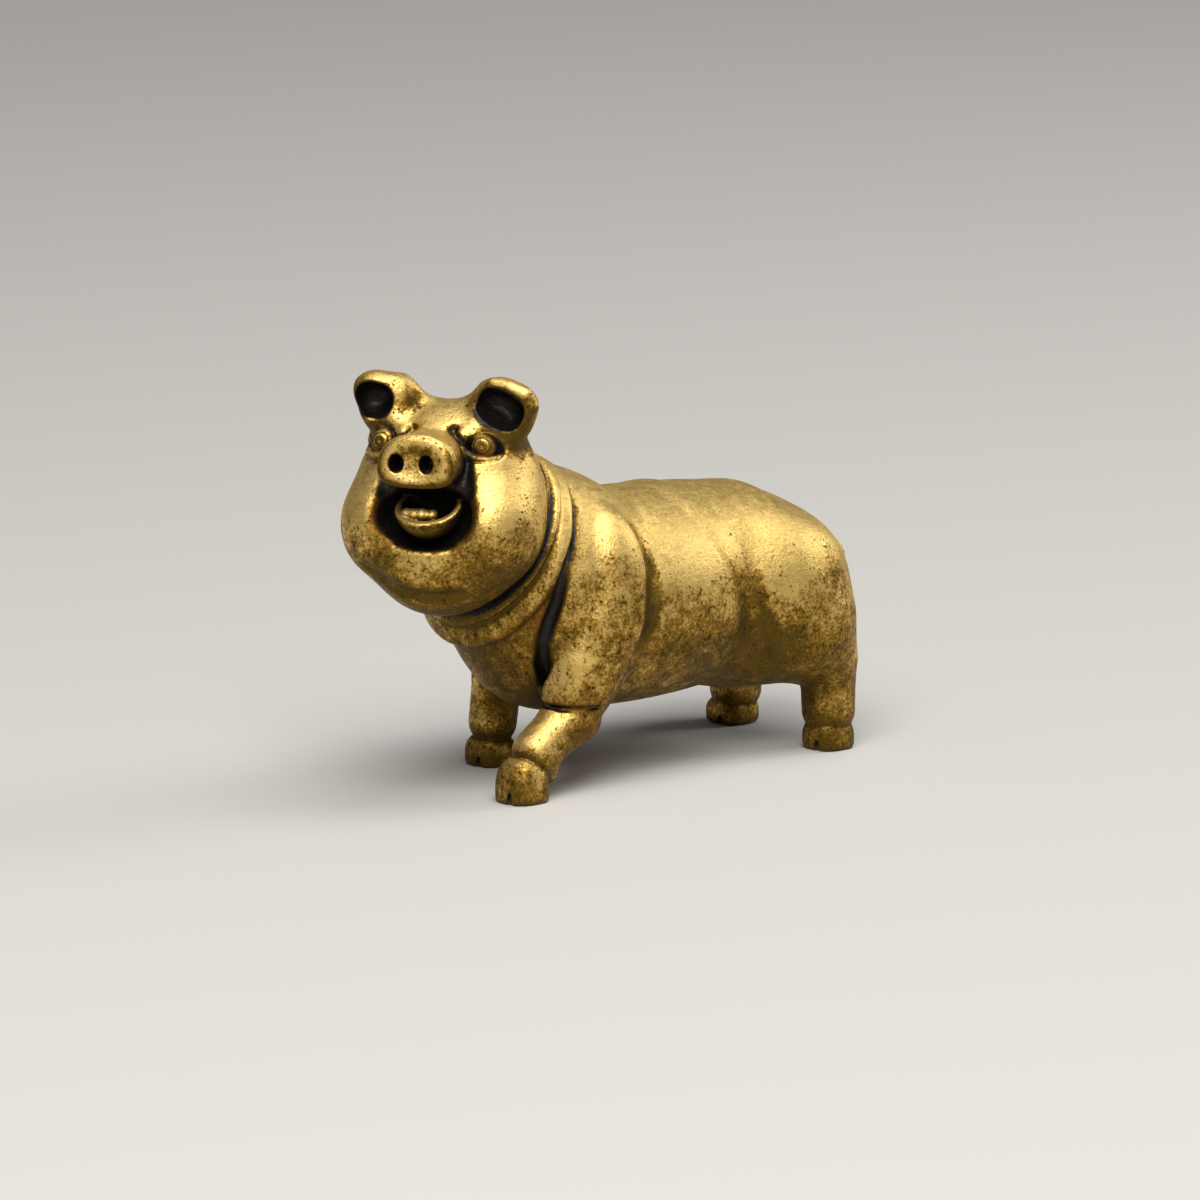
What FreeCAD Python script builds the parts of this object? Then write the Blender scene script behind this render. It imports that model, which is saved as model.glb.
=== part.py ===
import FreeCAD, Part
import Sketcher
import math
import os

# Pig figurine: a small solid brass casting of a stout pig that steps forward on its left
# foreleg and turns its head to its left.
#
# Frame: the head looks along -X, the rump is at +X, the pig's right flank is at +Y and Z is up.
# The origin is on the ground, under the middle of the figure. Lengths are millimetres.
#
# The casting has no moving pieces. It is divided at the creases and forms that its modeller
# gave it, and each form is one sub-part that meets its neighbours face to face.

SIZES = {
    # Trunk: length from the head seam to the rump's widest ring, height of its middle, girth
    "trunk_long": 21.75,
    "trunk_high": 11.75,
    "trunk_girth": 14.8,
    "rump_long": 8.3,
    # Chest: the mass that hangs between the forelegs
    "chest_deep": 9.6,
    "chest_girth": 10.8,
    # Head: depth and girth of the skull, and how far its middle lies in front of, above and to
    # the left of the head seam's middle
    "skull_deep": 11.6,
    "skull_girth": 13.4,
    "neck_reach": 3.95,
    "head_lift": 1.9,
    "head_aside": 1.0,
    "head_turn_angle": 34.3,
    "head_nod_angle": 8.0,
    # Nape, cheeks and chin
    "nape_deep": 10.0,
    "nape_girth": 12.3,
    "cheek_deep": 7.7,
    "cheek_girth": 7.2,
    "chin_deep": 7.6,
    "chin_girth": 8.3,
    # Snout: how far its front lies from the head's middle, its tube, and the dished nose disc
    "snout_long": 6.9,
    "snout_wide": 4.4,
    "snout_tall": 3.3,
    "nose_wide": 4.86,
    "nose_tall": 3.73,
    "nose_thick": 0.6,
    "nose_rim": 0.35,
    "nose_dish": 0.2,
    "nostril_apart": 1.95,
    "nostril_wide": 0.9,
    "nostril_deep": 1.2,
    # Mouth: the wide hollow, the bowl of the lower lip and the ridge of the lower teeth
    "mouth_wide": 6.7,
    "mouth_tall": 4.4,
    "mouth_floor": 2.9,
    "lip_deep": 4.3,
    "lip_girth": 4.5,
    "lip_thick": 0.45,
    "lip_slope_angle": 26.5,
    "teeth_wide": 2.1,
    "teeth_girth": 1.3,
    # Eyes in their sockets
    "eye_wide": 1.76,
    "socket_deep": 2.4,
    "socket_girth": 2.8,
    "pupil_wide": 0.5,
    "pupil_deep": 0.25,
    "gaze_angle": 28.0,
    # Ears: leaves, hollowed from the front
    "ear_deep": 2.8,
    "ear_girth": 4.6,
    "ear_wall": 0.6,
    "ear_back": 0.95,
    "ear_turn_angle": 21.0,
    # Upper legs: reach from the joint up to the middle of the muscle, and the muscle's girth
    "forearm_long": 8.0,
    "straight_foreleg_long": 11.3,
    "shoulder_girth": 7.6,
    "thigh_long": 7.0,
    "haunch_girth": 8.6,
    # Lower legs: girths down to the ground
    "knee_girth": 3.9,
    "shin_girth": 3.4,
    "fetlock_girth": 3.4,
    "right_foreleg_girth": 3.2,
    "hock_girth": 3.7,
    "pastern_girth": 3.1,
    # Hooves: spread of the sole past the leg, step in at the crease, and the cleft toe
    "hoof_flare": 0.1,
    "hoof_crease": 0.5,
    "cleft_wide": 0.36,
    "cleft_deep": 0.8,
    # Tail: one small curl against the rump
    "tail_curl_wide": 2.1,
    "tail_thick": 0.9,
    "tail_tip_thick": 0.5,
    "tail_rise": 0.7,
    "tail_curl_angle": 290.0,
    "overrun": 1.0,
}

# Rings of the trunk: place along it as a share of its length, rise of the ring's middle, width
# and height as shares of its girth.
TRUNK_SHARES = {
    "head_seam": (0.000, 0.389, 0.811, 0.838),
    "neck_roll": (0.044, 0.328, 0.892, 0.932),
    "neck_seam": (0.108, 0.250, 0.838, 0.899),
    "shoulder": (0.228, 0.125, 1.000, 1.000),
    "shoulder_seam": (0.354, 0.010, 0.959, 1.034),
    "barrel": (0.563, 0.000, 1.014, 1.000),
    "flank_seam": (0.800, 0.007, 0.939, 0.993),
    "haunch": (0.899, -0.010, 0.932, 0.930),
    "rump": (1.000, -0.034, 0.930, 0.930),
}
TRUNK_MIDDLE_SHARE = 0.448
CHEST_SHARES = (0.209, 0.0, 0.894)

# How far the top of each ring leans to the rear, in degrees. The legs lean inward too.
LEAN_ANGLES = {
    "head_seam": 34.8,
    "neck_roll": 31.0,
    "neck_seam": 29.9,
    "shoulder": 25.5,
    "shoulder_seam": 20.0,
    "barrel": 0.0,
    "flank_seam": -20.0,
    "haunch": -9.0,
    "rump": 0.0,
    "foreleg": 23.0,
    "straight_foreleg": 9.0,
    "shin": 42.0,
    "hind_leg": -16.0,
    "upright": 0.0,
}
FORELEG_INWARD_ANGLE = 6.0
HIND_LEG_INWARD_ANGLE = 13.0

# Named places on the legs: along the trunk, out from the middle as a share of the trunk's girth,
# and up as a share of the trunk's height.
LEG_SHARES = {
    "left_knee": (0.179, 0.338, 0.530),
    "left_shin": (0.096, 0.345, 0.366),
    "left_fetlock": (-0.030, 0.358, 0.221),
    "right_fetlock": (0.241, 0.351, 0.187),
    "left_hock": (1.187, 0.352, 0.417),
    "left_pastern": (1.187, 0.352, 0.179),
    "right_hock": (1.209, 0.355, 0.417),
    "right_pastern": (1.209, 0.355, 0.170),
}

# Upper legs: share of the reach up to the muscle's middle, and share of the muscle's girth.
FOREARM_SHARES = ((0.0, 0.55), (0.2, 0.7), (0.5, 0.9), (0.9, 1.0), (1.2, 0.94), (1.45, 0.76), (1.62, 0.5))
STRAIGHT_SHARES = ((-0.03, 0.42), (0.38, 0.43), (0.6, 0.68), (0.85, 0.97), (1.1, 0.97), (1.35, 0.66))
THIGH_SHARES = ((-0.05, 0.4), (0.14, 0.6), (0.4, 0.86), (0.9, 1.0), (1.3, 0.94), (1.6, 0.76), (1.82, 0.45))
HOOF_WALL_SHARE = 0.3
CLEFT_SHARE = 0.62

# Places on the head: out from its middle as a share of the skull's depth, and to the side and up
# as shares of its girth.
HEAD_SHARES = {
    "skull": (-0.052, 0.0, 0.022),
    "nape": (-0.276, 0.0, -0.067),
    "cheek": (0.112, 0.253, -0.067),
    "chin": (0.147, 0.0, -0.216),
    "mouth": (0.483, 0.0, -0.026),
    "lip": (0.353, -0.022, 0.041),
    "teeth": (0.414, 0.011, -0.015),
    "socket": (0.302, 0.265, 0.343),
    "eye": (0.237, 0.261, 0.342),
    "snout": (0.2, 0.0, 0.278),
    "left_ear": (0.065, 0.321, 0.507),
    "right_ear": (0.065, 0.295, 0.513),
}

# Angles of the rings of an egg, from its rear to its front.
EGG_ANGLES = (-75, -45, -15, 15, 45, 75)
EYE_ANGLES = (-60, -20, 20, 45, 65, 80)
SKULL_ANGLES = (-30, -10, 10, 25, 40, 52, 64, 76)
TAIL_UP_SHARE = 0.08
TAIL_OUT_SHARE = 0.04

doc = FreeCAD.newDocument("pig_figurine")
sheet = doc.addObject("Spreadsheet::Sheet", "Sizes")
for row, (alias, value) in enumerate(SIZES.items(), start=1):
    sheet.set(f"A{row}", alias)
    sheet.set(f"B{row}", str(value))
    sheet.setAlias(f"B{row}", alias)
doc.recompute()
sub_parts = []


def placement(x, y, z, turn="0", pitch="0", roll="0"):
    """The expression of a place and of turns about Z, then Y, then X."""
    place = f"create(<<vector>>; {x}; {y}; {z})"
    return f"create(<<placement>>; {place}; create(<<rotation>>; {turn}; {pitch}; {roll}))"


def upright(x, y, z, lean="0"):
    """A ring that faces along the pig, its first axis across it, leaning to the rear at its top."""
    return placement(x, y, z, "90", "0", f"90 + {lean}")


def along(share):
    """A place along the pig, as a share of the trunk."""
    return f"({share - TRUNK_MIDDLE_SHARE} * Sizes.trunk_long)"


def rise(share):
    """A height of the trunk's middle line."""
    return f"(Sizes.trunk_high + {share} * Sizes.trunk_girth)"


def leg_place(shares, across, lean, inward=0):
    """A place on a leg, from its shares, leaning to the rear and inward. Across is -1 on the left."""
    along_share, out_share, up_share = shares
    y = f"{across * out_share} * Sizes.trunk_girth"
    z = f"{up_share} * Sizes.trunk_high"
    return placement(along(along_share), y, z, "0", str(LEAN_ANGLES[lean]), str(across * inward))


def unit_circle():
    """A circle of radius 1 in four quarter arcs, the base of every ring."""
    sketch = doc.addObject("Sketcher::SketchObject", "unit_circle")
    circle = Part.Circle(FreeCAD.Vector(0, 0, 0), FreeCAD.Vector(0, 0, 1), 1)
    quarter = math.pi / 2
    for step in range(4):
        sketch.addGeometry(Part.ArcOfCircle(circle, step * quarter, (step + 1) * quarter))
    for step in range(4):
        sketch.addConstraint(Sketcher.Constraint("Coincident", step, 2, (step + 1) % 4, 1))
    doc.recompute()
    return sketch


UNIT_CIRCLE = unit_circle()


def oval(name, first_width, second_width, where):
    """An oval ring: the circle of radius 1 stretched to two widths."""
    stretched = doc.addObject("Part::Scale", f"{name}_ring")
    stretched.Base = UNIT_CIRCLE
    stretched.Uniform = False
    stretched.setExpression("XScale", f"({first_width}) / 2")
    stretched.setExpression("YScale", f"({second_width}) / 2")
    stretched.ZScale = 1
    stretched.setExpression("Placement", where)
    return stretched


def ring(name, girth, where):
    """A round ring: the circle of radius 1 grown to its girth."""
    grown = doc.addObject("Part::Scale", f"{name}_ring")
    grown.Base = UNIT_CIRCLE
    grown.Uniform = True
    grown.setExpression("UniformScale", f"({girth}) / 2")
    grown.setExpression("Placement", where)
    return grown


def loft(name, rings):
    """A solid whose walls run straight from each ring to the next."""
    solid = doc.addObject("Part::Loft", name)
    solid.Sections = rings
    solid.Solid = True
    solid.Ruled = True
    return solid


def cut(name, base, tool):
    """The base without the space of the tool."""
    result = doc.addObject("Part::Cut", name)
    result.Base = base
    result.Tool = tool
    return result


def fuse(name, solids):
    """Several solids joined to one."""
    result = doc.addObject("Part::MultiFuse", name)
    result.Shapes = solids
    return result


def pose(name, solid, where):
    """A solid carried from the frame that it is modelled in to its place."""
    result = doc.addObject("Part::Compound", name)
    result.Links = [solid]
    result.setExpression("Placement", where)
    return result


def egg(name, deep, girth, where, angles=EGG_ANGLES):
    """A round egg along X, whose walls run straight between the rings at some angles."""
    rings = []
    for step, angle in enumerate(angles):
        reach_share = math.sin(math.radians(angle)) / 2
        girth_share = math.cos(math.radians(angle))
        place = upright(f"{-reach_share} * {deep}", "0", "0")
        rings.append(ring(f"{name}_{step}", f"{girth_share} * ({girth})", place))
    return pose(name, loft(f"{name}_form", rings), where)


def keep(label, solid):
    """Name a finished sub-part."""
    solid.Label = label
    sub_parts.append(solid)
    return solid


def blend(first, middle, last, share):
    """Rows of shares that run from first through middle to last as parabolas, at a share of the way."""
    first_weight = (1 - share) * (1 - 2 * share)
    middle_weight = 4 * share * (1 - share)
    last_weight = share * (2 * share - 1)
    return [first_weight * a + middle_weight * b + last_weight * c for a, b, c in zip(first, middle, last)]


def trunk_ring(name, shares, lean):
    """A leaning oval ring of the trunk, from its row of shares."""
    along_share, rise_share, wide_share, tall_share = shares
    where = upright(along(along_share), "0", rise(rise_share), str(lean))
    return oval(name, f"{wide_share} * Sizes.trunk_girth", f"{tall_share} * Sizes.trunk_girth", where)


def trunk_form(label, stations, bands):
    """A form of the trunk that swells from the first of three named rings to the last."""
    rows = [(*TRUNK_SHARES[name], LEAN_ANGLES[name]) for name in stations]
    rings = []
    for step in range(bands + 1):
        *shares, lean = blend(*rows, step / bands)
        rings.append(trunk_ring(f"{label}_{step}", shares, lean))
    return loft(f"{label}_form", rings)


def dome_ring(name, girth, reach, angle, x, z):
    """A round ring of a dome along the pig, at an angle on the way from its widest ring to its tip."""
    reach_share = math.sin(math.radians(angle))
    girth_share = math.cos(math.radians(angle))
    return ring(name, f"{girth_share} * {girth}", upright(f"{x} + {reach_share} * {reach}", "0", z))


def hindquarters():
    """The haunches and the rump, which rounds off at the rear."""
    names = ("flank_seam", "haunch")
    rings = [trunk_ring(name, TRUNK_SHARES[name], LEAN_ANGLES[name]) for name in names]
    along_share, rise_share, girth_share = TRUNK_SHARES["rump"][:3]
    girth = f"{girth_share} * Sizes.trunk_girth"
    middle = (along(along_share), rise(rise_share))
    for angle in (0, 18, 36, 52, 66, 80):
        rings.append(dome_ring(f"rump_{angle}", girth, "Sizes.rump_long", angle, *middle))
    return keep("hindquarters", loft("hindquarters", rings))


def upper_leg(label, place, shares, reach, girth, body):
    """A muscle on the flank that narrows to the joint under it: round rings along its own axis."""
    rings = []
    for step, (reach_share, girth_share) in enumerate(shares):
        where = placement("0", "0", f"{reach_share} * {reach}")
        rings.append(ring(f"{label}_{step}", f"{girth_share} * {girth}", where))
    keep(label, cut(label, pose(f"{label}_posed", loft(f"{label}_form", rings), place), body))


def lower_leg(label, across, ends, body):
    """A leg piece through rings at named places, each with its girth and leans, from the lowest up."""
    rings = []
    for end, girth, *leans in ends:
        rings.append(ring(f"{label}_{end}", girth, leg_place(LEG_SHARES[end], across, *leans)))
    return keep(label, cut(label, loft(f"{label}_form", rings), body))


def hoof(label, across, end, leg_girth):
    """A hoof that flares from the crease under its leg to a flat sole, cleft at the toe."""
    along_share, out_share, up_share = LEG_SHARES[end]
    x = along(along_share)
    y = f"{across * out_share} * Sizes.trunk_girth"
    sole = f"({leg_girth} - Sizes.hoof_flare)"
    tall = f"{up_share} * Sizes.trunk_high"
    rings = [ring(f"{label}_sole", sole, placement(x, y, "0"))]
    rings.append(ring(f"{label}_wall", sole, placement(x, y, f"{HOOF_WALL_SHARE} * {tall}")))
    rings.append(ring(f"{label}_top", f"{leg_girth} - Sizes.hoof_crease", placement(x, y, tall)))
    cleft = doc.addObject("Part::Box", f"{label}_cleft")
    cleft.setExpression("Length", "Sizes.cleft_deep + Sizes.overrun")
    cleft.setExpression("Width", "Sizes.cleft_wide")
    cleft.setExpression("Height", f"{CLEFT_SHARE} * {tall} + Sizes.overrun")
    toe_x = f"{x} - {sole} / 2 - Sizes.overrun"
    cleft.setExpression("Placement", placement(toe_x, f"{y} - Sizes.cleft_wide / 2", "-Sizes.overrun"))
    return keep(label, cut(label, loft(f"{label}_form", rings), cleft))


def legs(body):
    """Four legs: the left foreleg bends at the knee, and the hind legs at the hocks."""
    knee = leg_place(LEG_SHARES["left_knee"], -1, "foreleg", FORELEG_INWARD_ANGLE)
    girth = "Sizes.shoulder_girth"
    upper_leg("left_upper_foreleg", knee, FOREARM_SHARES, "Sizes.forearm_long", girth, body)
    shin = (
        ("left_fetlock", "Sizes.fetlock_girth", "upright"),
        ("left_shin", "Sizes.shin_girth", "shin"),
        ("left_knee", "Sizes.knee_girth", "foreleg", FORELEG_INWARD_ANGLE),
    )
    lower_leg("left_lower_foreleg", -1, shin, body)
    hoof("left_fore_hoof", -1, "left_fetlock", "Sizes.fetlock_girth")
    straight_foot = hoof("right_fore_hoof", 1, "right_fetlock", "Sizes.right_foreleg_girth")
    foot = leg_place(LEG_SHARES["right_fetlock"], 1, "straight_foreleg", FORELEG_INWARD_ANGLE)
    beside = fuse("beside_right_foreleg", [body, straight_foot])
    upper_leg("right_foreleg", foot, STRAIGHT_SHARES, "Sizes.straight_foreleg_long", girth, beside)
    for side, across in (("left", -1), ("right", 1)):
        hock, pastern = f"{side}_hock", f"{side}_pastern"
        ends = ((pastern, "Sizes.pastern_girth", "upright"), (hock, "Sizes.hock_girth", "upright"))
        cannon = lower_leg(f"{side}_hind_cannon", across, ends, body)
        place = leg_place(LEG_SHARES[hock], across, "hind_leg", HIND_LEG_INWARD_ANGLE)
        beside = fuse(f"beside_{side}_thigh", [body, cannon])
        upper_leg(f"{side}_thigh", place, THIGH_SHARES, "Sizes.thigh_long", "Sizes.haunch_girth", beside)
        hoof(f"{side}_hind_hoof", across, pastern, "Sizes.pastern_girth")


def tail(rump):
    """The tail: one tapering curl that rises from the rump and lies against it."""
    rings = []
    bands = 6
    rump_along_share, rump_rise_share = TRUNK_SHARES["rump"][:2]
    root_x = f"{along(rump_along_share)} + Sizes.rump_long - Sizes.tail_thick / 2"
    middle_y = f"{-TAIL_OUT_SHARE} * Sizes.trunk_girth"
    middle_z = rise(rump_rise_share + TAIL_UP_SHARE)
    half_curl = "(Sizes.tail_curl_wide - Sizes.tail_thick) / 2"
    for step in range(bands + 1):
        share = step / bands
        turn = f"{share} * Sizes.tail_curl_angle"
        y = f"{middle_y} + {half_curl} * cos({turn} * 1 deg)"
        z = f"{middle_z} + {half_curl} * sin({turn} * 1 deg)"
        girth = f"{1 - share} * Sizes.tail_thick + {share} * Sizes.tail_tip_thick"
        where = placement(f"{root_x} + {share} * Sizes.tail_rise", y, z, "0", "0", turn)
        rings.append(ring(f"tail_{step}", girth, where))
    keep("tail", cut("tail", loft("tail_curl", rings), rump))


# The head is modelled round its own middle, looking along -X, and then carried to its place.
SEAM_ALONG_SHARE, SEAM_RISE_SHARE = TRUNK_SHARES["head_seam"][:2]
HEAD_PLACE = placement(
    f"{along(SEAM_ALONG_SHARE)} - Sizes.neck_reach",
    "-Sizes.head_aside",
    f"{rise(SEAM_RISE_SHARE)} + Sizes.head_lift",
    "Sizes.head_turn_angle",
    "Sizes.head_nod_angle",
)


def head_xyz(name, across=1):
    """The coordinates of a named place on the head, in its own frame."""
    out_share, side_share, up_share = HEAD_SHARES[name]
    x = f"({-out_share} * Sizes.skull_deep)"
    y = f"({across * side_share} * Sizes.skull_girth)"
    return x, y, f"({up_share} * Sizes.skull_girth)"


def head_egg(name, stem, place, angles=EGG_ANGLES):
    """An egg-shaped form of the head, whose sizes have names that start with its stem."""
    return egg(name, f"Sizes.{stem}_deep", f"Sizes.{stem}_girth", place, angles)


def mouth():
    """The hollow of the mouth: a wide oval that narrows to its floor."""
    x, y, z = head_xyz("mouth")
    floor_x = "-Sizes.mouth_floor"
    stations = (
        ("mouth_open", "Sizes.mouth_wide", "Sizes.mouth_tall", f"{x} - Sizes.overrun"),
        ("mouth_edge", "Sizes.mouth_wide", "Sizes.mouth_tall", f"({x} + {floor_x}) / 2"),
        ("mouth_floor", "Sizes.mouth_wide * 2 / 3", "Sizes.mouth_tall * 2 / 3", floor_x),
    )
    rings = [oval(name, wide, tall, upright(place, y, z)) for name, wide, tall, place in stations]
    return loft("mouth", rings)


def skull():
    """The skull with its nape, cheeks and chin, the sockets of the eyes and the hollow of the mouth."""
    full = [head_egg("skull", "skull", placement(*head_xyz("skull")), SKULL_ANGLES)]
    for stem in ("nape", "chin"):
        full.append(head_egg(stem, stem, placement(*head_xyz(stem))))
    hollows = [mouth()]
    for side, across in (("left", -1), ("right", 1)):
        full.append(head_egg(f"{side}_cheek", "cheek", placement(*head_xyz("cheek", across))))
        hollows.append(head_egg(f"{side}_socket", "socket", placement(*head_xyz("socket", across))))
    return cut("skull_with_mouth", fuse("skull_full", full), fuse("skull_hollows", hollows))


def seam_block():
    """The space behind the head seam, which trims the back of the head flat."""
    block = doc.addObject("Part::Box", "seam_block")
    for edge in ("Length", "Width", "Height"):
        block.setExpression(edge, "2 * Sizes.skull_girth")
    lean = LEAN_ANGLES["head_seam"]
    x = f"{along(SEAM_ALONG_SHARE)} - Sizes.skull_girth * sin({lean} * 1 deg)"
    z = f"{rise(SEAM_RISE_SHARE)} - Sizes.skull_girth * cos({lean} * 1 deg)"
    block.setExpression("Placement", placement(x, "-Sizes.skull_girth", z, "0", str(lean)))
    return block


def seat(label, solid, bone):
    """A feature of the face, trimmed where it meets the skull and carried to its place."""
    return keep(label, pose(label, cut(f"{label}_trimmed", solid, bone), HEAD_PLACE))


def snout(bone):
    """The snout tube with its flared, dished nose disc and two nostrils."""
    root_x, middle_y, middle_z = head_xyz("snout")
    front = "-Sizes.snout_long"
    disc_back = f"{front} + Sizes.nose_thick"
    stations = (
        ("nose_front", "Sizes.nose_wide - Sizes.nose_rim", "Sizes.nose_tall - Sizes.nose_rim", front),
        ("nose_edge", "Sizes.nose_wide", "Sizes.nose_tall", f"{front} + Sizes.nose_thick / 3"),
        ("nose_back", "Sizes.nose_wide", "Sizes.nose_tall", disc_back),
        ("snout_neck", "Sizes.snout_wide", "Sizes.snout_tall", f"{disc_back} + Sizes.nose_rim"),
        ("snout_root", "Sizes.snout_wide", "Sizes.nose_tall", root_x),
    )
    rings = [oval(name, wide, tall, upright(x, middle_y, middle_z)) for name, wide, tall, x in stations]
    dish = []
    ends = (("dish_open", f"{front} - Sizes.overrun"), ("dish_floor", f"{front} + Sizes.nose_dish"))
    for name, x in ends:
        wide = "Sizes.nose_wide - 3 * Sizes.nose_rim"
        tall = "Sizes.nose_tall - 3 * Sizes.nose_rim"
        dish.append(oval(name, wide, tall, upright(x, middle_y, middle_z)))
    hollows = [loft("nose_dish", dish)]
    for side, across in (("left", -1), ("right", 1)):
        nostril = doc.addObject("Part::Cylinder", f"{side}_nostril")
        nostril.setExpression("Radius", "Sizes.nostril_wide / 2")
        nostril.setExpression("Height", "Sizes.nostril_deep + Sizes.overrun")
        y = f"{middle_y} + {across} * Sizes.nostril_apart / 2"
        nostril.setExpression("Placement", placement(f"{front} - Sizes.overrun", y, middle_z, "0", "90"))
        hollows.append(nostril)
    seat("snout", cut("snout_hollowed", loft("snout_form", rings), fuse("nose_hollows", hollows)), bone)


def lower_lip():
    """The lower lip: a thin bowl whose rim falls from the corners of the mouth to its front."""
    x, y, z = head_xyz("lip")
    bowl = egg("lip_bowl", "Sizes.lip_deep", "Sizes.lip_girth", placement(x, y, z))
    inner = ("Sizes.lip_deep - 2 * Sizes.lip_thick", "Sizes.lip_girth - 2 * Sizes.lip_thick")
    hollow = egg("lip_hollow", f"({inner[0]})", inner[1], placement(x, y, f"{z} + Sizes.lip_thick"))
    above = doc.addObject("Part::Box", "above_lip")
    for edge in ("Length", "Width", "Height"):
        above.setExpression(edge, "4 * Sizes.lip_girth")
    slope = "Sizes.lip_slope_angle"
    corner_x = f"{x} - 2 * Sizes.lip_girth * cos({slope} * 1 deg)"
    corner_z = f"{z} - 2 * Sizes.lip_girth * sin({slope} * 1 deg)"
    corner_y = f"{y} - 2 * Sizes.lip_girth"
    above.setExpression("Placement", placement(corner_x, corner_y, corner_z, "0", f"-{slope}"))
    return cut("lip_open", cut("lip_hollowed", bowl, hollow), above)


def lower_teeth(lip, bone):
    """The ridge of the lower teeth, which stands across the bowl of the lip."""
    x, y, z = head_xyz("teeth")
    ridge = egg("teeth_ridge", "Sizes.teeth_wide", "Sizes.teeth_girth", placement(x, y, z, "90"))
    seat("lower_teeth", cut("teeth_clear", ridge, lip), bone)


def eye(side, across, bone):
    """An eyeball that bulges from its socket, with the pit of its pupil."""
    x, y, z = head_xyz("eye", across)
    ball = egg(f"{side}_eyeball", "Sizes.eye_wide", "Sizes.eye_wide", placement(x, y, z), EYE_ANGLES)
    pit = doc.addObject("Part::Cylinder", f"{side}_pupil")
    pit.setExpression("Radius", "Sizes.pupil_wide / 2")
    pit.setExpression("Height", "Sizes.overrun")
    reach = "(Sizes.eye_wide / 2 - Sizes.pupil_deep)"
    pit_x = f"{x} - {reach} * cos(Sizes.gaze_angle * 1 deg)"
    pit_y = f"{y} + {across} * {reach} * sin(Sizes.gaze_angle * 1 deg)"
    pit.setExpression("Placement", placement(pit_x, pit_y, z, f"{-across} * Sizes.gaze_angle", "-90"))
    seat(f"{side}_eye", cut(f"{side}_eye_pitted", ball, pit), bone)


def ear(side, across, bone):
    """An ear: a thick leaf turned outward and hollowed from its front, seated on the skull."""
    inner = "Sizes.ear_girth - 2 * Sizes.ear_wall"
    leaf = cut(
        f"{side}_ear_leaf",
        egg(f"{side}_ear_body", "Sizes.ear_deep", "Sizes.ear_girth", placement("0", "0", "0")),
        egg(f"{side}_ear_hollow", "Sizes.ear_deep", inner, placement("-Sizes.ear_back", "0", "0")),
    )
    where = placement(*head_xyz(f"{side}_ear", across), f"{-across} * Sizes.ear_turn_angle")
    seat(f"{side}_ear", pose(f"{side}_ear_turned", leaf, where), bone)


neck_roll = keep("neck_roll", trunk_form("neck_roll", ("head_seam", "neck_roll", "neck_seam"), 4))
barrel = keep("barrel", trunk_form("barrel", ("shoulder_seam", "barrel", "flank_seam"), 5))
rear = hindquarters()
shoulder_loft = trunk_form("shoulders", ("neck_seam", "shoulder", "shoulder_seam"), 5)
chest = egg("chest", "Sizes.chest_deep", "Sizes.chest_girth", leg_place(CHEST_SHARES, 1, "upright"))
fore_mass = fuse("fore_mass", [shoulder_loft, chest])
shoulders = keep("shoulders", cut("shoulders", fore_mass, fuse("beside_shoulders", [neck_roll, barrel])))
legs(fuse("body", [neck_roll, shoulders, barrel, rear]))
tail(rear)

bone = skull()
keep("head", cut("head", pose("head_posed", bone, HEAD_PLACE), seam_block()))
snout(bone)
lip = lower_lip()
seat("lower_lip", lip, bone)
lower_teeth(lip, bone)
for side, across in (("left", -1), ("right", 1)):
    eye(side, across, bone)
    ear(side, across, bone)

doc.recompute()
for thing in doc.Objects:
    if "Invalid" in thing.State or "Error" in thing.State:
        raise RuntimeError(f"{thing.Name} did not build: {thing.State}")
for solid in sub_parts:
    if solid.Shape.isNull() or not solid.Shape.isValid():
        raise RuntimeError(f"{solid.Label} has no valid shape")

os.makedirs("parts", exist_ok=True)
for solid in sub_parts:
    solid.Shape.exportStep(f"parts/{solid.Label}.step")
print(len(sub_parts), "sub-parts")
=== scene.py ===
import math

import bpy
import numpy as np
from mathutils import Matrix, Vector


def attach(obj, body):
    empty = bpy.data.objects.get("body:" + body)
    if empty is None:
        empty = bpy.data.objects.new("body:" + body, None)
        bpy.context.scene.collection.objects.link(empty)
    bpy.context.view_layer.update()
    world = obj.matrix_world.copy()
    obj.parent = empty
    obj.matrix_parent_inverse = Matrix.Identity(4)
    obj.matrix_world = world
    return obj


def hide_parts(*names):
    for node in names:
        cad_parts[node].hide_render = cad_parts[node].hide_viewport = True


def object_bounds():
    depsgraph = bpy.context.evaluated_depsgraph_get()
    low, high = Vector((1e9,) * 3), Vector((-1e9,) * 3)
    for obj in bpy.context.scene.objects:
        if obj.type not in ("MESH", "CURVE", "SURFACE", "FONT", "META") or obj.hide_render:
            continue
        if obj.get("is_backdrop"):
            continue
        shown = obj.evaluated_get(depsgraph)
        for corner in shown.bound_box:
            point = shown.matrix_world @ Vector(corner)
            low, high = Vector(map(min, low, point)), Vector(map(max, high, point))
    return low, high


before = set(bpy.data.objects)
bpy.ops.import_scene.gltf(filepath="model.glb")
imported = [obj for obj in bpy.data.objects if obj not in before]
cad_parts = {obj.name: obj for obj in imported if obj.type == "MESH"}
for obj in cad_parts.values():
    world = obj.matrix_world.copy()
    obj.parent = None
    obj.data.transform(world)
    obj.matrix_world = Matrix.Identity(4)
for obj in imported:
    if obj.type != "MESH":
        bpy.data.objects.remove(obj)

# Barrel: the pig's round belly and back, the middle of one solid brass casting.
# The modeller's clay was swept from leaning ovals, and the other forms are pressed on to it.
cad_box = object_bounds()
MM = 0.001


def pressed(a, b, soft):
    """Distance to two forms joined by a fillet.

    It is the smaller of the two, less a parabola where they differ by under soft.
    """
    h = np.maximum(soft - np.abs(a - b), 0.0) / soft
    return np.minimum(a, b) - h * h * soft / 4


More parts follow.
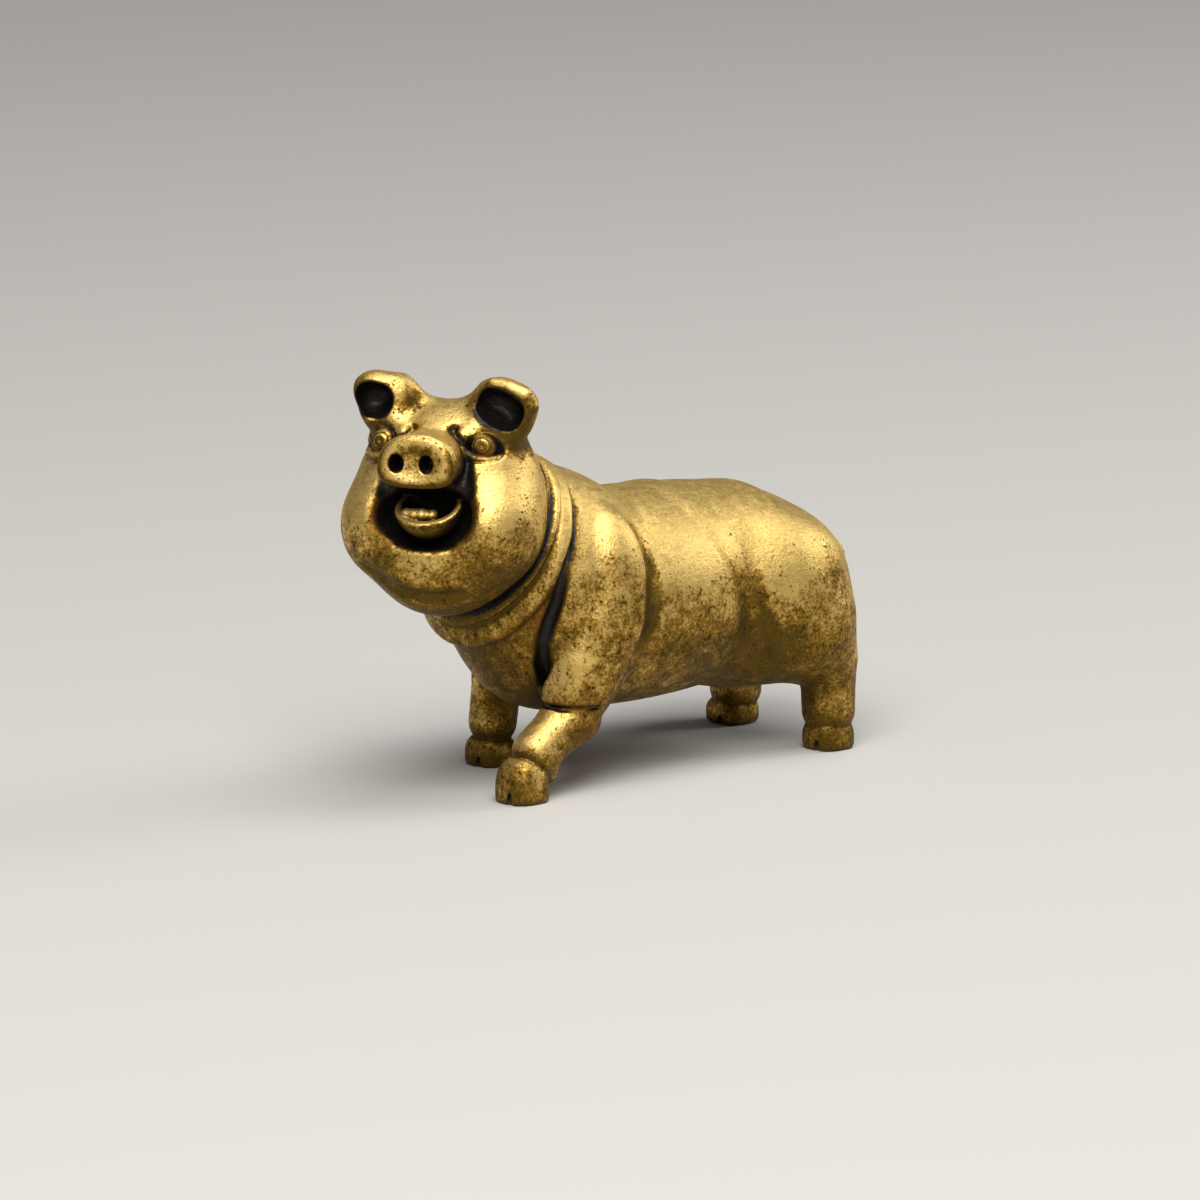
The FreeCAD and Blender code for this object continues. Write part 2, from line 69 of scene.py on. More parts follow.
def carved(a, b, soft):
    """Distance to form a with form b taken out, its edge rounded over soft."""
    return -pressed(-a, b, soft)


def leaning_ovals(first, middle, last, taper=0.6, folds=()):
    """Distance to a body swept by an oval from one row to the next.

    A row is x, z, width, height and lean in degrees. At t along the body each is the parabola
    through the three rows. The t of a point is where the oval's plane passes through it, found
    by Newton steps, and the distance is (|(y / half width, up / half height)| - 1) * half size.
    Past its ends the body closes like an egg, its size times sqrt(1 - (t past the end / taper)^2),
    and a margin beyond the last oval it is cut flat.
    A fold at t0 swells the oval by amount * exp(-((t - t0) / spread)^2), more under the throat
    and less over the nape.
    """
    first, middle, last = (np.array(row, float) for row in (first, middle, last))
    linear = 4 * middle - 3 * first - last
    square = 2 * first - 4 * middle + 2 * last

    def distance(x, y, z):
        t = np.full(np.broadcast(x, z).shape, 0.5)
        for turn in range(5):
            row = [first[i] + t * (linear[i] + t * square[i]) for i in (0, 1, 4)]
            lean = np.radians(row[2])
            across = (x - row[0]) * np.cos(lean) - (z - row[1]) * np.sin(lean)
            rate_x = linear[0] + 2 * t * square[0]
            rate_z = linear[1] + 2 * t * square[1]
            rate = rate_x * np.cos(lean) - rate_z * np.sin(lean)
            up = (x - row[0]) * np.sin(lean) + (z - row[1]) * np.cos(lean)
            rate = rate + up * np.radians(linear[4] + 2 * t * square[4])
            t = np.clip(t + across / np.maximum(rate, 1.0), -taper, 1 + taper)
        row = [first[i] + t * (linear[i] + t * square[i]) for i in range(5)]
        lean = np.radians(row[4])
        across = (x - row[0]) * np.cos(lean) - (z - row[1]) * np.sin(lean)
        up = (x - row[0]) * np.sin(lean) + (z - row[1]) * np.cos(lean)
        throat = np.clip(0.85 - 0.75 * up / (row[3] / 2), 0.12, 1.5)
        bells = (amount * np.exp(-(((t - at) / spread) ** 2)) for at, spread, amount in folds)
        swell = throat * sum(bells)
        past = np.maximum(np.maximum(t - 1, -t), 0) / taper
        closing = np.sqrt(np.maximum(1 - past**2, 0.04))
        half_wide = (row[2] / 2 + swell) * closing
        half_tall = (row[3] / 2 + swell) * closing
        oval = np.sqrt((y / half_wide) ** 2 + (up / half_tall) ** 2) - 1
        oval = oval * np.minimum(half_wide, half_tall)
        margin = 0.25
        beyond = np.abs(across) - margin
        return np.where(beyond > 0, np.maximum(oval, beyond), oval)

    return distance


casting = []


def press_on(name, form, soft=0.6, grain=0.12):
    """Adds a form to the casting as a piece of its own, whose mesh is poured once every form is known.

    Its fillet with the forms before it is soft wide, and its mesh has cells of grain. A name of
    None is a groove, which is carved out. The box round the form is found on a wide grid.
    """
    below, above, stride, found_within = 1.5, 2.3, 0.8, 0.75
    wide = [np.arange(side[0] - below, side[1] + above, stride) for side in np.array(cad_box).T / MM]
    grid = np.meshgrid(*wide, indexing="ij")
    found = np.argwhere(form(*grid) < found_within)
    corners = (found.min(0), found.max(0))
    low, high = (np.array([axis[i] for axis, i in zip(wide, corner)]) for corner in corners)
    piece = None
    if name:
        piece = bpy.data.objects.new(name, bpy.data.meshes.new(name))
        bpy.context.scene.collection.objects.link(piece)
    margin = stride / 2
    part = {"piece": piece, "form": form, "soft": soft, "grain": grain}
    part["low"], part["high"] = low - margin, high + margin
    casting.append(part)
    return piece


def carve_out(form, soft=0.3):
    """Carves a form out of all that is pressed on so far."""
    press_on(None, form, soft)


BARREL_ROWS = (
    (-2.05, 11.85, 14.2, 15.0, 20),
    (2.5, 11.62, 15.0, 14.55, 0),
    (7.65, 11.85, 13.5, 14.7, -20),
)
barrel = press_on("belly_and_back", leaning_ovals(*BARREL_ROWS))
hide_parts("barrel")
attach(barrel, "root")

# Hindquarters: the haunches and the rump, rounded off at the rear in the same casting.
# A shallow valley over the flank parts them from the barrel.


def egg(centre, radii, axes=np.eye(3), power=2.0):
    """Distance to an ellipsoid.

    With k the length of point / radii, it is k (k - 1) over the length of point / radii^2. A
    power over 2 in the first length makes the egg squarish.
    """
    centre, radii, axes = np.array(centre, float), np.array(radii, float), np.array(axes, float)

    def distance(x, y, z):
        offsets = (x - centre[0], y - centre[1], z - centre[2])
        parts = [np.abs(sum(offset * a for offset, a in zip(offsets, axis))) for axis in axes]
        length = sum((p / r) ** power for p, r in zip(parts, radii)) ** (1 / power)
        steep = np.sqrt(sum((p / r**2) ** 2 for p, r in zip(parts, radii)))
        return length * (length - 1) / np.maximum(steep, 1e-6)

    return distance


REAR_ROWS = (BARREL_ROWS[-1], (9.8, 11.5, 13.5, 14.1, -9), (12.0, 11.3, 13.8, 13.4, 0))
rear_ovals = leaning_ovals(*REAR_ROWS)
rump_egg = egg((11.5, 0, 10.9), (7.6, 6.9, 6.8))


def rear_form(x, y, z):
    """The swept body, with the egg of the rump pressed on to its end."""
    return pressed(rear_ovals(x, y, z), rump_egg(x, y, z), 1.0)


rear = press_on("hindquarters_skin", rear_form, 0.6)
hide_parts("hindquarters")
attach(rear, "root")

# Shoulders: the high fore part that carries the neck, leaning back over the forelegs.
# The chest swells forward under it.
SHOULDER_ROWS = ((-7.4, 15.45, 12.4, 13.3, 29.9), (-4.8, 13.6, 14.6, 14.7, 25.5), BARREL_ROWS[0])
shoulder_ovals = leaning_ovals(*SHOULDER_ROWS)
chest_egg = egg((-5.2, 0, 10.4), (4.8, 5.3, 5.3))


def shoulder_form(x, y, z):
    """The swept body, with the egg of the chest pressed on below."""
    return pressed(shoulder_ovals(x, y, z), chest_egg(x, y, z), 1.2)


shoulders = press_on("shoulders_skin", shoulder_form, 0.6)
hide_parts("shoulders")
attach(shoulders, "root")

# Forelegs: the left one steps forward, creased at the knee, and the right one stands straight.
# Each swells upward into a large muscle that lies on the shoulder like a teardrop.


def bone(start, end, start_radius, end_radius):
    """Distance to a round cone: the nearest of its two balls and the cone that touches both."""
    start, end = np.array(start, float), np.array(end, float)
    axis = end - start
    length = np.linalg.norm(axis)
    axis = axis / length
    narrowing = (start_radius - end_radius) / length
    flank = math.sqrt(1 - narrowing**2)

    def distance(x, y, z):
        parts = (x - start[0], y - start[1], z - start[2])
        along = sum(p * a for p, a in zip(parts, axis))
        away = np.sqrt(np.maximum(sum(p * p for p in parts) - along**2, 0))
        foot = along - away * narrowing / flank
        cone = away * flank + along * narrowing - start_radius
        first = np.sqrt(along**2 + away**2) - start_radius
        second = np.sqrt((along - length) ** 2 + away**2) - end_radius
        return np.where(foot < 0, first, np.where(foot > length, second, cone))

    return distance


def chain(stations):
    """Distance to round cones laid from station to station, each x, y, z and radius."""
    bones = [bone(a[:3], b[:3], a[3], b[3]) for a, b in zip(stations, stations[1:])]
    return lambda x, y, z: np.minimum.reduce([one(x, y, z) for one in bones])


MUSCLE_RADII = (3.5, 3.75, 5.6)
left_muscle = egg((-3.2, -4.15, 13.4), MUSCLE_RADII)
left_stem = chain(
    ((-3.9, -4.6, 10.9, 3.4), (-4.8, -4.8, 8.6, 3.0), (-5.4, -4.95, 7.3, 2.55), (-5.84, -5.0, 6.2, 2.15))
)
right_muscle = egg((-3.2, 4.15, 13.4), MUSCLE_RADII)
right_stem = chain(
    ((-3.1, 4.5, 10.0, 3.0), (-3.7, 5.0, 7.6, 2.1), (-4.1, 5.2, 5.2, 1.66), (-4.4, 5.2, 2.9, 1.62))
)
MUSCLE_FILLET = 1.6


def left_forearm_form(x, y, z):
    """The left muscle, drawn down to the knee."""
    return pressed(left_muscle(x, y, z), left_stem(x, y, z), MUSCLE_FILLET)


def right_foreleg_form(x, y, z):
    """The right muscle, drawn down to the hoof."""
    return pressed(right_muscle(x, y, z), right_stem(x, y, z), MUSCLE_FILLET)


shin = chain(
    ((-6.1, -5.05, 5.1, 2.0), (-7.57, -5.1, 4.2, 1.66), (-9.2, -5.2, 3.1, 1.66), (-8.75, -5.2, 1.9, 1.05))
)
FORELEGS = (
    ("left_forearm_skin", "left_upper_foreleg", left_forearm_form, 0.3),
    ("left_shin_skin", "left_lower_foreleg", shin, 0.08),
    ("right_foreleg_skin", "right_foreleg", right_foreleg_form, 0.3),
)
for label, node, form, soft in FORELEGS:
    leg = press_on(label, form, soft)
    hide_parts(node)
    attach(leg, "root")


def on_both_sides(form):
    """A form given for positive y, and its mirror image."""
    return lambda x, y, z: form(x, np.abs(y), z)


KNEE_X, KNEE_Y, KNEE_Z, KNEE_RING, KNEE_CREASE = -5.9, -5.03, 5.95, 2.1, 0.15
knee_crease = chain(
    [
        (KNEE_X - KNEE_RING * math.cos(a), KNEE_Y + KNEE_RING * math.sin(a), KNEE_Z, KNEE_CREASE)
        for a in np.radians(np.linspace(-100, 100, 9))
    ]
)
carve_out(knee_crease, 0.2)
REAR_CREASE = (
    (-3.2, 3.2, 21.6, 0.02), (-1.9, 5.3, 19.2, 0.08), (-1.0, 6.6, 16.3, 0.24), (-0.8, 7.15, 14.0, 0.32),
    (-1.3, 7.4, 12.0, 0.32), (-2.0, 7.45, 10.1, 0.22), (-2.6, 7.3, 8.4, 0.1),
)
rear_crease = on_both_sides(chain(REAR_CREASE))
carve_out(rear_crease, 0.9)

# Neck roll: the fat collar behind the head, with a thin fold in front of a broad one.
# Its grooves fade over the nape, and a deep crease parts it from the shoulder and the chest.
NECK_ROWS = (
    (-9.75, 17.5, 12.0, 12.0, 34.8),
    (-8.8, 16.6, 12.5, 12.8, 31.0),
    (-7.4, 15.45, 12.3, 13.1, 29.9),
)
NECK_FOLDS = ((0.1, 0.13, -0.8), (0.34, 0.1, 0.08), (0.47, 0.045, -0.13), (0.74, 0.18, 0.45))
neck = press_on("neck_roll_skin", leaning_ovals(*NECK_ROWS, folds=NECK_FOLDS), 0.35, grain=0.1)
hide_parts("neck_roll")
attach(neck, "root")
FRONT_CREASE = (
    (-4.5, 2.6, 22.0, 0.02), (-5.0, 3.9, 20.7, 0.1), (-6.3, 5.5, 18.4, 0.18), (-7.7, 6.3, 15.6, 0.28),
    (-8.1, 5.95, 13.2, 0.34), (-8.4, 5.5, 11.8, 0.4), (-8.5, 4.95, 10.2, 0.4), (-7.95, 4.3, 8.7, 0.45),
    (-7.0, 3.7, 7.2, 0.35),
)
front_crease = on_both_sides(chain(FRONT_CREASE))
carve_out(front_crease, 0.5)

# Hind legs: each thigh is a broad ham that covers the haunch, with a short cannon below the hock.
# A crease runs down in front of the ham, where it folds against the belly.
LEFT_HAM_STATIONS = ((14.2, -4.7, 8.6, 3.7), (15.9, -5.1, 6.2, 2.35), (16.25, -5.15, 4.9, 1.9))
RIGHT_HAM_STATIONS = ((14.3, 4.6, 8.6, 3.7), (16.5, 5.0, 6.2, 2.3), (17.0, 5.05, 4.9, 1.9))
HIND_LEGS = (
    ("left", -1, LEFT_HAM_STATIONS, ((16.3, -5.15, 4.6, 1.86), (16.3, -5.2, 2.6, 1.8))),
    ("right", 1, RIGHT_HAM_STATIONS, ((17.0, 5.1, 4.6, 1.85), (17.0, 5.2, 2.4, 1.76))),
)


def ham(way, stations):
    """The haunch's egg with the leg's round cones drawn down from it, way being -1 on the left."""
    haunch = egg((12.9, way * 3.75, 10.7), (5.35, 4.25, 5.6), power=2.1)
    leg = chain(stations)
    return lambda x, y, z: pressed(haunch(x, y, z), leg(x, y, z), 1.2)


for side, way, ham_stations, cannon_stations in HIND_LEGS:
    thigh = press_on(f"{side}_thigh_skin", ham(way, ham_stations), 1.6)
    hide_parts(f"{side}_thigh")
    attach(thigh, "root")
WAIST_CREASE = (
    (7.5, 6.2, 17.0, 0.01), (7.6, 6.9, 14.9, 0.02), (7.8, 7.25, 12.4, 0.04), (8.2, 7.2, 10.2, 0.12),
    (8.8, 6.9, 8.3, 0.28), (9.6, 6.2, 6.8, 0.3),
)
waist_crease = on_both_sides(chain(WAIST_CREASE))
carve_out(waist_crease, 1.6)
for side, way, ham_stations, cannon_stations in HIND_LEGS:
    cannon = press_on(f"{side}_cannon_skin", chain(cannon_stations), 0.15)
    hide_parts(f"{side}_hind_cannon")
    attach(cannon, "root")

# Hooves: squarish blocks with a flat sole and a short notch cut up the front of the toe.
# Each meets its leg in a crease.


def hoof(x, y, tall, wide, notch):
    """Distance to a hoof: an egg of a high power cut flat by the ground, less the cone of its notch."""
    widest = 0.7
    block = egg((x, y, widest), (wide / 2, wide / 2, tall - widest), power=2.7)
    notch_y = y - wide * 0.16
    cleft = bone((x - wide * 0.47, notch_y, 0.1), (x - wide * 0.40, notch_y, notch), 0.16, 0.08)

    def distance(x, y, z):
        return carved(carved(block(x, y, z), z, 0.3), cleft(x, y, z), 0.25)

    return distance


HOOVES = (
    ("left_fore_hoof", (-10.55, -5.3, 3.0, 3.25, 1.1)),
    ("right_fore_hoof", (-4.6, 5.2, 2.2, 3.15, 0.9)),
    ("left_hind_hoof", (16.2, -5.3, 2.2, 3.2, 0.9)),
    ("right_hind_hoof", (16.8, 5.3, 1.9, 3.3, 0.8)),
)
for label, measures in HOOVES:
    foot = press_on(f"{label}_skin", hoof(*measures), 0.1, grain=0.08)
    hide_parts(label)
    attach(foot, "root")

# Tail: one small tapering curl of brass that stands out from the rump.
# It was modelled as a rolled thread and is part of the casting.
CURL_ROOT, CURL_LONG, CURL_Y, CURL_Z, CURL_RADIUS, CURL_STEPS = 18.7, 1.6, -1.7, 12.6, 0.6, 8
ROOT_THICK, TAPER = 0.5, 0.2
curl = [
    (
        CURL_ROOT + CURL_LONG * i / CURL_STEPS,
        CURL_Y + CURL_RADIUS * math.cos(a),
        CURL_Z + CURL_RADIUS * math.sin(a),
        ROOT_THICK - TAPER * i / CURL_STEPS,
    )
    for i, a in enumerate(np.radians(np.linspace(0, 290, CURL_STEPS + 1)))
]
tail = press_on("tail_skin", chain(curl), 0.25, grain=0.07)
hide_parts("tail")
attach(tail, "root")

# Head: a broad ball with full cheeks and a heavy chin, turned to the pig's left.
# The eye sockets and the wide hollow of the mouth are pressed deep into it.
HEAD_MIDDLE = np.array((-13.69, -1.0, 19.4))
HEAD_TURN = Matrix.Rotation(math.radians(34.3), 3, "Z") @ Matrix.Rotation(math.radians(4.5), 3, "Y")
head_axes = np.array(HEAD_TURN).T * np.array((-1, 1, 1))[:, None]


def in_head(form):
    """A form given by its place out of the face, to the pig's right and up, from the head's middle."""

    def distance(x, y, z):
        parts = (x - HEAD_MIDDLE[0], y - HEAD_MIDDLE[1], z - HEAD_MIDDLE[2])
        return form(*(sum(p * a for p, a in zip(parts, axis)) for axis in head_axes))

    return distance


skull = egg((-0.4, 0, 0.3), (5.3, 6.45, 6.95))
nape = egg((-3.0, -0.2, -0.9), (4.6, 6.1, 6.0))
cheek = egg((1.4, 3.3, -0.9), (3.95, 3.45, 3.9))
chin = egg((1.7, 0, -2.9), (3.75, 4.5, 3.95))
BALL_SHIFT = 0.35


def ball_of_head(out, side, up):
    """Skull, nape, cheeks and chin as eggs joined by wide fillets, a little to the pig's left."""
    side = side + BALL_SHIFT
    shape = pressed(skull(out, side, up), nape(out, side, up), 0.4)
    shape = pressed(shape, cheek(out, np.abs(side), up), 0.8)
    return pressed(shape, chin(out, side, up), 1.0)


def on_face(points):
    """Points of the face, given to the side and up, pushed back on to the head in 40 short steps."""
    side, up = np.array(points, float).T
    out = np.full(len(side), 8.0)
    for turn in range(40):
        out = np.maximum(out - 0.8 * ball_of_head(out, side, up), -0.5)
    return out


def strand(points, radii, lift=0.0):
    """A strip laid on the face through points to the side and up, standing proud by lift."""
    out = on_face(points) + lift
    return chain([(o, s, u, r) for o, (s, u), r in zip(out, points, radii)])


BROW = ((2.0, 5.15), (2.8, 5.65), (3.7, 5.75), (4.5, 5.2), (5.0, 4.3))
LID = ((2.2, 4.3), (2.9, 3.85), (3.7, 3.6), (4.5, 3.75), (5.05, 4.15))
brow = strand(BROW, (0.4, 0.6, 0.7, 0.66, 0.45), -0.2)
lid = strand(LID, (0.22, 0.34, 0.4, 0.34, 0.22), -0.05)
socket_axes = np.array(((0.66, 0.50, 0.56), (-0.60, 0.80, 0.0), (-0.45, -0.34, 0.83)))
socket = egg((3.2, 3.5, 4.58), (1.2, 1.8, 1.0), socket_axes)
snout_groove = strand(((1.5, 5.46), (2.3, 3.94), (2.7, 1.95)), (0.35, 0.45, 0.4), 0.08)
CHIN_FOLD = ((4.0, -3.6), (2.2, -4.9), (-0.2, -5.35), (-2.6, -5.2))
chin_crease = strand(CHIN_FOLD, (0.05, 0.1, 0.1, 0.05), 0.1)
mouth_hollow = egg((5.6, -0.1, 0.15), (3.0, 3.25, 1.85), power=2.5)
mouth_groove = egg((5.1, -0.2, -1.65), (1.4, 1.8, 0.45))


def head_in_own_frame(out, side, up):
    """The ball with its grooves and sockets carved, its brows and lids laid on, and its mouth opened."""
    mirrored = np.abs(side)
    shape = ball_of_head(out, side, up)
    shape = carved(shape, snout_groove(out, mirrored, up), 0.6)
    shape = carved(shape, socket(out, mirrored, up), 0.25)
    shape = pressed(shape, brow(out, mirrored, up), 0.5)
    shape = pressed(shape, lid(out, mirrored, up), 0.12)
    shape = carved(shape, chin_crease(out, side, up), 0.9)
    shape = carved(shape, mouth_groove(out, side, up), 0.5)
    return carved(shape, mouth_hollow(out, side, up), 0.8)


head = press_on("head_skin", in_head(head_in_own_frame), 0.12, grain=0.105)
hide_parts("head")
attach(head, "root")

# Snout: a short oval tube that flares into the nose disc, dished and pierced by two nostrils.
# It juts out of the face over the open mouth, in the same casting.
SNOUT_WIDE, SNOUT_TALL, SNOUT_UP, SNOUT_FRONT = 2.45, 1.8, 3.66, 6.9


def snout_in_own_frame(out, side, up):
    """A squarish oval round the axis, flat below, swelling at the disc and capped at the front."""
    flare = 0.14 * np.exp(-(((out - 6.5) / 0.35) ** 2))
    groove = 0.16 * np.exp(-(((out - 5.85) / 0.22) ** 2))
    wide = SNOUT_WIDE * np.clip(1 - 0.1 * (up - SNOUT_UP) / SNOUT_TALL, 0.7, 1.2)
    power = 2.4
    oval = np.abs(side / wide) ** power + np.abs((up - SNOUT_UP) / SNOUT_TALL) ** power
    tube = (oval ** (1 / power) - 1) * 1.95 - (flare - groove)
    block = carved(tube, up - SNOUT_UP + 1.72, 0.6)
    block = carved(block, SNOUT_FRONT - out, 0.5)
    block = np.maximum(block, 2.0 - out)
    dish = egg((SNOUT_FRONT + 0.35, 0.0, SNOUT_UP - 0.05), (0.62, 1.95, 1.3))(out, side, up)
    block = carved(block, dish, 0.2)
    for middle in (1.3, -0.7):
        nostril = egg((SNOUT_FRONT, middle, SNOUT_UP - 0.05), (1.5, 0.48, 0.62))(out, side, up)
        block = carved(block, nostril, 0.12)
    return block


snout = press_on("snout_skin", in_head(snout_in_own_frame), 0.3, grain=0.07)
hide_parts("snout")
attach(snout, "root")

# Lower lip: a bowl with a rolled rim that stands in the hollow of the mouth, open at the top.
# Its rim is rubbed bright, and the bowl behind it is black.
bowl = egg((4.3, -0.2, 0.75), (2.35, 2.25, 2.25))
bowl_hollow = egg((4.4, -0.2, 1.3), (2.05, 1.85, 1.9))


def lip_in_own_frame(out, side, up):
    """An egg, hollowed by a smaller one and cut by a plane that falls towards the front."""
    cup = carved(bowl(out, side, up), bowl_hollow(out, side, up), 0.12)
    rim = (0.75 - 0.5 * (out - 4.0) - up) * 0.89
    cup = carved(cup, rim, 0.25)
    return np.maximum(cup, 2.4 - out)


lip = press_on("lower_lip_skin", in_head(lip_in_own_frame), 0.15, grain=0.065)
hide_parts("lower_lip")
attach(lip, "root")

# Lower teeth: a bumpy ridge that stands across the bowl of the lip.
# It was cut into the clay with a few strokes, so its lumps are uneven.
tooth_balls = [
    egg((5.2 - 0.2 * abs(s) ** 1.5, 0.1 + s, 0.05 + 0.06 * math.cos(5 * s)), (0.5, 0.42, 0.5))
    for s in (-0.85, -0.2, 0.35, 0.9)
]


def teeth_in_own_frame(out, side, up):
    """Four eggs side by side, joined by fillets."""
    shape = tooth_balls[0](out, side, up)
    for ball in tooth_balls[1:]:
        shape = pressed(shape, ball(out, side, up), 0.3)
    return shape


teeth = press_on("lower_teeth_skin", in_head(teeth_in_own_frame), 0.1, grain=0.055)
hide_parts("lower_teeth")
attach(teeth, "root")

# Eyes: bulging balls in their sockets, each with a ring cut round the pit of its pupil.
# Ring and pit were pressed into the clay with a small tube, and hold dark patina.
gaze = np.array((0.9, 0.12, 0.2))
gaze /= np.linalg.norm(gaze)
EYE_MIDDLE = (2.52, 3.36, 4.48)
EYE_RADIUS, RING_ANGLE = 0.86, 0.75


def from_eye(out, side, up):
    """Place from the middle of the eye on that side, and how much of it lies along the gaze."""
    parts = (out - EYE_MIDDLE[0], np.abs(side) - EYE_MIDDLE[1], up - EYE_MIDDLE[2])
    return parts, sum(p * g for p, g in zip(parts, gaze))


def eye_in_own_frame(out, side, up):
    """A ball whose radius falls by a narrow bell at its pupil and at one angle round it."""
    parts, ahead = from_eye(out, side, up)
    length = np.sqrt(sum(p * p for p in parts))
    angle = np.arccos(np.clip(ahead / np.maximum(length, 1e-6), -1, 1))
    pit = 0.1 * np.exp(-((angle / 0.26) ** 2))
    ring = 0.06 * np.exp(-(((angle - RING_ANGLE) / 0.1) ** 2))
    return length - EYE_RADIUS + (pit + ring)


def iris(out, side, up):
    """Rough distance over the ball to the ring or to the rim of the pit, whichever is nearer."""
    dented = 0.8
    angle = np.arccos(np.clip(from_eye(out, side, up)[1] / dented, -1, 1))
    return dented * np.minimum(np.abs(angle - RING_ANGLE), np.maximum(angle - 0.15, 0)) + 0.02


def on_side(form, way):
    """The half of a mirrored form that lies on one side of the head, way being 1 on its right."""
    return in_head(lambda out, side, up: np.maximum(form(out, side, up), -way * side))


for side, way in (("left", -1), ("right", 1)):
    eye = press_on(f"{side}_eye_skin", on_side(eye_in_own_frame, way), 0.05, grain=0.05)
    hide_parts(f"{side}_eye")
    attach(eye, "root")

# Ears: cupped leaves with squarish tops that open forward, thin at the rim and black inside.
# The top of the left one folds over its hollow, and the right one narrows to its root.


def ear_axes(turn):
    """Axes out of the face, to the side and up, the last two turned about the first by an angle."""
    c, s = math.cos(math.radians(turn)), math.sin(math.radians(turn))
    return np.array(((1, 0, 0), (0, c, s), (0, -s, c)))


left_leaf = egg((0.75, -4.3, 6.8), (1.35, 2.1, 2.05), ear_axes(20), 2.7)
left_hollow = egg((2.1, -4.2, 6.95), (1.9, 1.65, 1.3), ear_axes(20), 2.4)
left_root = chain(((0.3, -3.0, 7.8, 0.8), (-0.2, -1.5, 6.3, 0.9)))
right_root = chain(((0.3, 2.9, 7.9, 0.8), (-0.2, 1.3, 6.3, 0.9)))
left_fold = chain(
    ((1.5, -3.7, 8.65, 0.3), (1.6, -4.83, 8.4, 0.45), (1.55, -5.87, 7.95, 0.5), (1.3, -6.35, 7.2, 0.4))
)
right_leaf = egg((0.75, 4.05, 6.85), (1.35, 2.2, 2.15), ear_axes(8), 2.7)
right_hollow = egg((2.1, 4.4, 7.15), (1.9, 1.35, 1.15), ear_axes(8), 2.4)


def left_ear_in_own_frame(out, side, up):
    """The leaf with its root, hollowed, and the fold laid along its top."""
    leaf = pressed(left_leaf(out, side, up), left_root(out, side, up), 0.6)
    cup = carved(leaf, left_hollow(out, side, up), 0.25)
    return pressed(cup, left_fold(out, side, up), 0.35)


def right_ear_in_own_frame(out, side, up):
    """The leaf cut off outside a slanting plane, with its root, and hollowed."""
    within = (6.1 - side) * 0.884 + (up - 7.3) * 0.467
    leaf = carved(right_leaf(out, side, up), within, 0.8)
    leaf = pressed(leaf, right_root(out, side, up), 0.6)
    return carved(leaf, right_hollow(out, side, up), 0.25)


for side, form in (("left", left_ear_in_own_frame), ("right", right_ear_in_own_frame)):
    ear = press_on(f"{side}_ear_skin", in_head(form), 0.9, grain=0.08)
    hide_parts(f"{side}_ear")
    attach(ear, "root")

# Pouring: every piece gets its share of the casting's one skin.
# Where two pieces meet, each reaches a little way under the other, so no gap shows.
LAP, LAP_DEPTH = 0.2, 0.04
FAR = 9.0
BLOCK = 4


def read(x, y, z, owner=None, reach=1.2):
    """Distance to the casting, and how much nearer the owner's own form lies than any other.

    The forms are taken in the order they were pressed on, each only near its own box.
    """
    total, own, rest = (np.full(np.shape(x), FAR) for turn in range(3))
    for part in casting:
        near = np.ones(np.shape(x), bool)
        for values, low, high in zip((x, y, z), part["low"], part["high"]):
            near &= (values > low - reach) & (values < high + reach)
        if near.any():
            distance = part["form"](x[near], y[near], z[near])
            join = pressed if part["piece"] else carved
            total[near] = join(total[near], distance, part["soft"])
            if part is owner:
                own[near] = distance
            elif part["piece"]:
                rest[near] = np.minimum(rest[near], distance)
    return total, own - rest


def skin_of(part):
    """Distance to a piece: the casting where the piece's own form is the nearest, and a lap beyond.

    In the lap the skin sinks by a smooth step, and past it the piece is cut off.
    """

    def skin(x, y, z):
        total, past = read(x, y, z, part)
        share = np.clip(past / LAP, 0, 1)
        return np.maximum(total + LAP_DEPTH * share**2 * (3 - 2 * share), past - LAP)

    return skin


def slope(field, points, gap=0.01):
    """Gradient of a field at points, from the difference of its values a small gap to each side."""
    result = np.empty_like(points)
    for axis in range(3):
        shift = np.zeros(3)
        shift[axis] = gap
        result[:, axis] = (field(*(points + shift).T) - field(*(points - shift).T)) / (2 * gap)
    return result


def net(values):
    """Quads over the zero level of a grid of values.

    Each cell whose corners differ in sign gets a vertex at the mean of its edges' crossings, and
    each grid edge whose ends differ in sign gets a quad of the four cells round it.
    """
    inside = values < 0
    size = np.array(values.shape) - 1
    corners = [np.array(c) for c in np.ndindex(2, 2, 2)]
    windows = (tuple(slice(i, n + i) for i, n in zip(corner, size)) for corner in corners)
    count = sum(inside[window].astype(np.uint8) for window in windows)
    cells = np.argwhere((count > 0) & (count < 8))
    number = np.full(size, -1, np.int32)
    number[tuple(cells.T)] = np.arange(len(cells))
    total = np.zeros((len(cells), 3))
    hits = np.zeros(len(cells))
    for start in corners:
        for axis in np.flatnonzero(start == 0):
            end = start.copy()
            end[axis] = 1
            low, high = (values[tuple((cells + c).T)] for c in (start, end))
            crosses = (low < 0) != (high < 0)
            share = np.where(crosses, low / np.where(crosses, low - high, 1), 0)
            total += crosses[:, None] * (start + share[:, None] * (end - start))
            hits += crosses
    quads = []
    for axis in range(3):
        side, other = np.eye(3, dtype=int)[[(axis + 1) % 3, (axis + 2) % 3]]
        ahead = np.roll(inside, -1, axis)
        edges = np.argwhere((inside != ahead)[tuple(slice(1, n) for n in size)]) + 1
        ring = [number[tuple((edges - step).T)] for step in (side + other, other, 0 * side, side)]
        quad = np.stack(ring, axis=1)
        outward = inside[tuple(edges.T)]
        quads.append(np.where(outward[:, None], quad, quad[:, ::-1]))
    return cells + total / hits[:, None], np.concatenate(quads)


